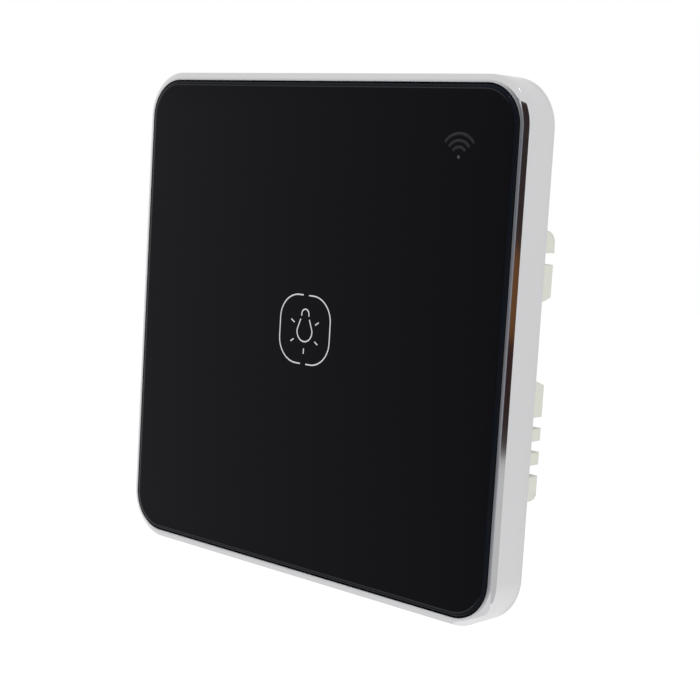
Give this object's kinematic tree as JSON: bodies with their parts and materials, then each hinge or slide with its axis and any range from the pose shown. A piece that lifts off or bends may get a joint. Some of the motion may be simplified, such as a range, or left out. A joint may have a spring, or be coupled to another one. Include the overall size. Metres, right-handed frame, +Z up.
{
  "type": "touch switch",
  "caption": "Square wall switch with a dark glass touch panel in a thin metal frame, which pulls off a base with rising cage wire terminals.",
  "frame": {"origin": "middle of the wall plane, midway between the two wall box screws", "axes": "X to the right seen from the front, Y into the wall, Z up"},
  "size_m": [0.086, 0.0319, 0.086],
  "materials": {
    "frame_metal": "satin anodised with a polished bevel",
    "panel_glass": "polished, printed black behind",
    "tape": "matt foam",
    "dark_plastic": "moulded",
    "steel": "zinc plated",
    "tinned_can": "tinned",
    "board": "green solder mask",
    "clear_plastic": "clear",
    "led": "cast resin",
    "chip": "moulded",
    "brass": "plated",
    "cream_plastic": "fine moulded",
    "relay_case": "moulded",
    "ferrite": "ferrite and tape",
    "sleeve": "shrunk sleeve over aluminium",
    "film_case": "moulded",
    "fuse_case": "moulded",
    "varistor_coat": "dipped",
    "terminal_plastic": "moulded",
    "plated_steel": "plated"
  },
  "bodies": {
    "base": {"base_plate": "cream_plastic", "rear_housing": "cream_plastic", "housing_screws": "steel", "power_board": "board", "power_board_screws": "steel", "socket_header": "dark_plastic", "relay": "relay_case", "transformer": "ferrite", "electrolytic_capacitor": "sleeve", "film_capacitor": "film_case", "fuse": "fuse_case", "varistor": "varistor_coat", "rectifier": "chip", "regulator": "chip", "terminal_block": "terminal_plastic", "terminal_contacts": "brass"},
    "panel": {"aluminium_frame": "frame_metal", "glass_panel": "panel_glass", "bonding_tape": "tape", "panel_carrier": "dark_plastic", "carrier_screws": "steel", "snap_arms": "dark_plastic", "touch_board": "board", "board_screws": "steel", "touch_spring": "steel", "light_guide": "clear_plastic", "indicator_leds": "led", "wireless_module": "board", "module_shield": "tinned_can", "touch_chip": "chip", "pin_strip": "dark_plastic", "header_pins": "brass"},
    "terminal_cage_1": {"terminal_cage_1": "plated_steel"},
    "terminal_screw_1": {"terminal_screw_1": "plated_steel"},
    "terminal_cage_2": {"terminal_cage_2": "plated_steel"},
    "terminal_screw_2": {"terminal_screw_2": "plated_steel"},
    "terminal_cage_3": {"terminal_cage_3": "plated_steel"},
    "terminal_screw_3": {"terminal_screw_3": "plated_steel"},
    "terminal_cage_4": {"terminal_cage_4": "plated_steel"},
    "terminal_screw_4": {"terminal_screw_4": "plated_steel"}
  },
  "joints": [
    {"name": "panel_pull", "type": "slide", "parent": "base", "child": "panel", "axis": [0, -1, 0], "range_m": [0, 0.035], "deforming": ["snap_arms"]},
    {"name": "screw_turn_1", "type": "hinge", "parent": "base", "child": "terminal_screw_1", "pos_m": [-0.01143, 0.0191, 0.02235], "axis": [0, -1, 0], "range_deg": [0, 2881]},
    {"name": "cage_rise_1", "type": "slide", "parent": "base", "child": "terminal_cage_1", "axis": [0, 1, 0], "range_m": [0, 0.004]},
    {"name": "screw_turn_2", "type": "hinge", "parent": "base", "child": "terminal_screw_2", "pos_m": [-0.00381, 0.0191, 0.02235], "axis": [0, -1, 0], "range_deg": [0, 2881]},
    {"name": "cage_rise_2", "type": "slide", "parent": "base", "child": "terminal_cage_2", "axis": [0, 1, 0], "range_m": [0, 0.004]},
    {"name": "screw_turn_3", "type": "hinge", "parent": "base", "child": "terminal_screw_3", "pos_m": [0.00381, 0.0191, 0.02235], "axis": [0, -1, 0], "range_deg": [0, 2881]},
    {"name": "cage_rise_3", "type": "slide", "parent": "base", "child": "terminal_cage_3", "axis": [0, 1, 0], "range_m": [0, 0.004]},
    {"name": "screw_turn_4", "type": "hinge", "parent": "base", "child": "terminal_screw_4", "pos_m": [0.01143, 0.0191, 0.02235], "axis": [0, -1, 0], "range_deg": [0, 2881]},
    {"name": "cage_rise_4", "type": "slide", "parent": "base", "child": "terminal_cage_4", "axis": [0, 1, 0], "range_m": [0, 0.004]}
  ],
  "couplings": [
    {"joint": "screw_turn_1", "follows": "cage_rise_1", "rad_per_m": 12566},
    {"joint": "screw_turn_2", "follows": "cage_rise_2", "rad_per_m": 12566},
    {"joint": "screw_turn_3", "follows": "cage_rise_3", "rad_per_m": 12566},
    {"joint": "screw_turn_4", "follows": "cage_rise_4", "rad_per_m": 12566}
  ]
}
